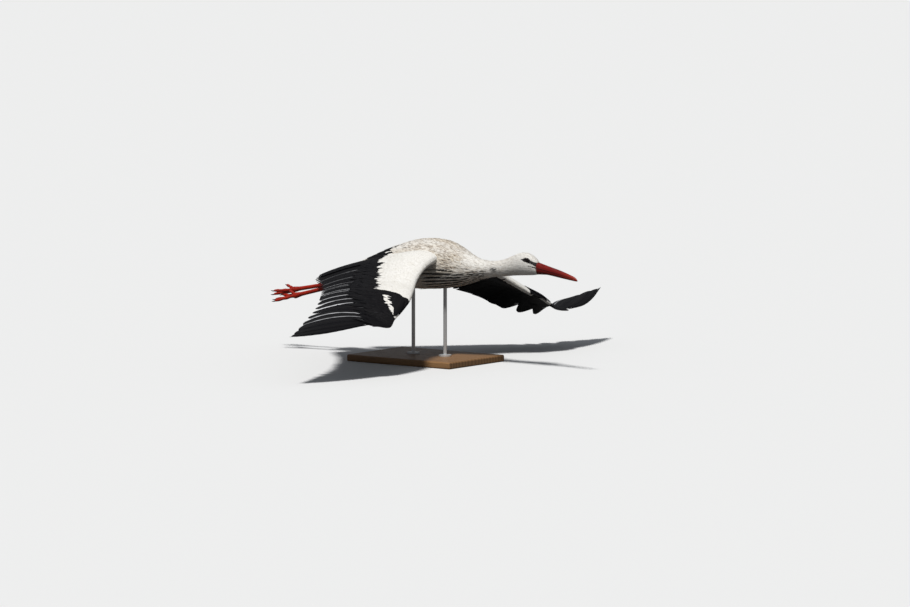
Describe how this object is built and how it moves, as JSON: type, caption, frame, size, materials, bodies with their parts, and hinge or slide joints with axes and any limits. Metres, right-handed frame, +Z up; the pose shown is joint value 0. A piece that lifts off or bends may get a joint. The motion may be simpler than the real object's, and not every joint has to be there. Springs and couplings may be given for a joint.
{
  "type": "white stork",
  "caption": "Life-size still model of a white stork gliding with bowed wings and trailing red legs, held over a flat base by rods.",
  "frame": {"origin": "centre of the base's underside, on the surface that the stand rests on", "axes": "+X the way the bird flies, +Y the bird's left, +Z up"},
  "size_m": [1.2957, 1.6892, 0.4062],
  "materials": {
    "white_feathers": "white and cream contour feathers, matt",
    "black_feathers": "black flight feathers with a faint sheen",
    "bill_horn": "red horn, satin",
    "leg_scales": "red scaled skin",
    "eye": "dark wet eye",
    "stand_wood": "oiled oak",
    "stand_steel": "satin steel"
  },
  "bodies": {
    "root": {"bill_lower": "bill_horn", "bill_upper": "bill_horn", "eye_left": "eye", "eye_right": "eye", "foot_left": "leg_scales", "foot_right": "leg_scales", "head": "white_feathers", "neck": "white_feathers", "shank_left": "leg_scales", "shank_right": "leg_scales", "stand_base": "stand_wood", "stand_rod_front": "stand_steel", "stand_rod_rear": "stand_steel", "tail": "white_feathers", "tarsus_left": "leg_scales", "tarsus_right": "leg_scales", "thigh_left": "white_feathers", "thigh_right": "white_feathers", "trunk": "white_feathers", "wing_alula_left": "black_feathers", "wing_alula_right": "black_feathers", "wing_arm_left": "white_feathers", "wing_arm_right": "white_feathers", "wing_hand_left": "black_feathers", "wing_hand_right": "black_feathers", "wing_primaries_left": "black_feathers", "wing_primaries_right": "black_feathers", "wing_secondaries_left": "black_feathers", "wing_secondaries_right": "black_feathers"}
  },
  "joints": []
}
